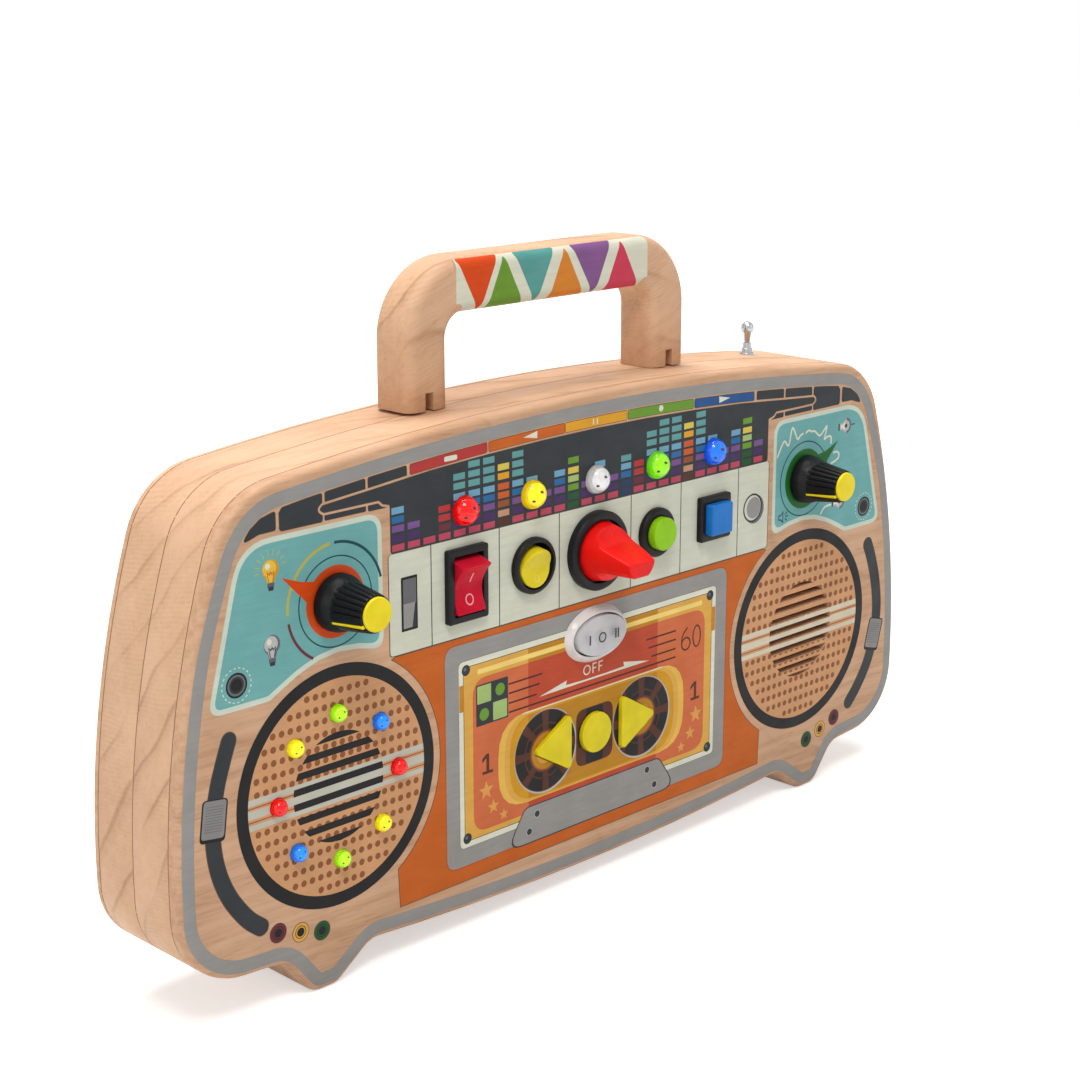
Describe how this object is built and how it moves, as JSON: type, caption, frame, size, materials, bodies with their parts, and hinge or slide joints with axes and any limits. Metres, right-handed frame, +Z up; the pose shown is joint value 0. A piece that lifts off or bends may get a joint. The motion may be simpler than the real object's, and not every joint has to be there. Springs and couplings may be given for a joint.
{
  "type": "wooden busy board",
  "caption": "Wooden busy board shaped like a portable radio, with real switches, dials, push keys, small lamps, a loudspeaker, a carrying handle and a telescopic antenna.",
  "frame": {"origin": "bottom centre of the bounding box: on the floor under the feet, midway between the sides and between the selector tip and the back panel", "axes": "+X to the right seen from the front, +Y to the back, +Z up; the printed face looks along -Y"},
  "size_m": [0.3, 0.0566, 0.189],
  "materials": {
    "printed_wood": "flat varnished ply, printed in colour",
    "wood": "sanded and oiled beech",
    "dowel_wood": "plain dowel",
    "black_plastic": "satin black",
    "black_tray": "matte black",
    "red_translucent": "translucent crimson",
    "yellow_plastic": "glossy yellow",
    "selector_red": "glossy red",
    "lime_plastic": "glossy lime green",
    "blue_plastic": "glossy blue",
    "grey_plastic": "light grey",
    "ivory_plastic": "glossy yellow",
    "knob_black": "fluted black",
    "lens_red": "clear red resin",
    "lens_yellow": "clear yellow resin",
    "lens_green": "clear green resin",
    "lens_blue": "clear blue resin",
    "lens_white": "clear resin",
    "chrome": "polished",
    "steel": "zinc plated",
    "brass": "nickelled brass",
    "aluminium": "die cast",
    "board_green": "solder mask",
    "cone_paper": "pressed paper",
    "magnet_steel": "ferrite and plated steel",
    "cell_jacket": "plain jacket",
    "spacer_nylon": "nylon"
  },
  "bodies": {
    "board": {"front_panel": "printed_wood", "front_frame": "wood", "rear_frame": "wood", "back_panel": "wood", "handle": "wood", "handle_dowels": "dowel_wood", "back_screws": "steel", "battery_tray": "black_tray", "battery_door": "black_tray", "door_screw": "steel", "battery_cells": "cell_jacket", "battery_contacts": "steel", "control_board": "board_green", "board_spacers": "spacer_nylon", "board_screws": "steel", "short_screws": "steel", "tact_switches": "black_tray", "lamp_board": "board_green", "ring_board": "board_green", "speaker_basket": "steel", "speaker_cone": "cone_paper", "speaker_magnet": "magnet_steel", "ring_lamps_red": "lens_red", "ring_lamps_yellow": "lens_yellow", "ring_lamps_green": "lens_green", "ring_lamps_blue": "lens_blue", "lamp_red": "lens_red", "lamp_yellow": "lens_yellow", "lamp_white": "lens_white", "lamp_green": "lens_green", "lamp_blue": "lens_blue", "rocker_housing": "black_plastic", "round_rocker_housing": "black_plastic", "selector_housing": "black_plastic", "round_button_housing": "black_plastic", "square_button_housing": "black_plastic", "mode_switch_housing": "grey_plastic", "light_pot": "aluminium", "volume_pot": "aluminium", "pot_nuts": "brass", "antenna_tube": "chrome"},
    "rocker": {"rocker_cap": "red_translucent"},
    "round_rocker": {"round_rocker_cap": "yellow_plastic"},
    "selector": {"selector_knob": "selector_red", "selector_shaft": "steel"},
    "round_button": {"round_button_cap": "lime_plastic"},
    "square_button": {"square_button_cap": "blue_plastic"},
    "mode_switch": {"mode_switch_cap": "grey_plastic"},
    "rewind": {"rewind_key": "ivory_plastic"},
    "stop": {"stop_key": "ivory_plastic"},
    "play": {"play_key": "ivory_plastic"},
    "light_dial": {"light_knob": "knob_black", "light_knob_cap": "yellow_plastic", "light_shaft": "aluminium"},
    "volume_dial": {"volume_knob": "knob_black", "volume_knob_cap": "yellow_plastic", "volume_shaft": "aluminium"},
    "antenna_middle": {"antenna_middle": "chrome"},
    "antenna_upper": {"antenna_upper": "chrome"},
    "antenna_tip": {"antenna_tip": "chrome"}
  },
  "joints": [
    {"name": "rocker_tilt", "type": "hinge", "parent": "board", "child": "rocker", "pos_m": [-0.0518, -0.0087, 0.1029], "axis": [1, 0, 0], "range_deg": [-21, 0]},
    {"name": "round_rocker_tilt", "type": "hinge", "parent": "board", "child": "round_rocker", "pos_m": [-0.0259, -0.0087, 0.1029], "axis": [1, 0, 0], "range_deg": [-21, 0]},
    {"name": "selector_turn", "type": "hinge", "parent": "board", "child": "selector", "pos_m": [0, -0.0097, 0.1024], "axis": [0, -1, 0], "range_deg": [0, 90]},
    {"name": "round_button_press", "type": "slide", "parent": "board", "child": "round_button", "axis": [0, 1, 0], "range_m": [0, 0.002], "stiffness_N_per_m": 400},
    {"name": "square_button_press", "type": "slide", "parent": "board", "child": "square_button", "axis": [0, 1, 0], "range_m": [0, 0.002], "stiffness_N_per_m": 400},
    {"name": "mode_switch_tilt", "type": "hinge", "parent": "board", "child": "mode_switch", "pos_m": [0, -0.0087, 0.077], "axis": [0, 0, 1], "range_deg": [-8, 8]},
    {"name": "rewind_press", "type": "slide", "parent": "board", "child": "rewind", "axis": [0, 1, 0], "range_m": [0, 0.0008], "stiffness_N_per_m": 600},
    {"name": "stop_press", "type": "slide", "parent": "board", "child": "stop", "axis": [0, 1, 0], "range_m": [0, 0.0008], "stiffness_N_per_m": 600},
    {"name": "play_press", "type": "slide", "parent": "board", "child": "play", "axis": [0, 1, 0], "range_m": [0, 0.0008], "stiffness_N_per_m": 600},
    {"name": "light_dial_turn", "type": "hinge", "parent": "board", "child": "light_dial", "pos_m": [-0.0972, -0.0097, 0.1073], "axis": [0, -1, 0], "range_deg": [-270, 30]},
    {"name": "volume_dial_turn", "type": "hinge", "parent": "board", "child": "volume_dial", "pos_m": [0.0972, -0.0097, 0.1073], "axis": [0, -1, 0], "range_deg": [-270, 30]},
    {"name": "antenna_first_pull", "type": "slide", "parent": "board", "child": "antenna_middle", "axis": [0, 0, 1], "range_m": [0, 0.054]},
    {"name": "antenna_second_pull", "type": "slide", "parent": "antenna_middle", "child": "antenna_upper", "axis": [0, 0, 1], "range_m": [0, 0.053]},
    {"name": "antenna_third_pull", "type": "slide", "parent": "antenna_upper", "child": "antenna_tip", "axis": [0, 0, 1], "range_m": [0, 0.05]}
  ]
}
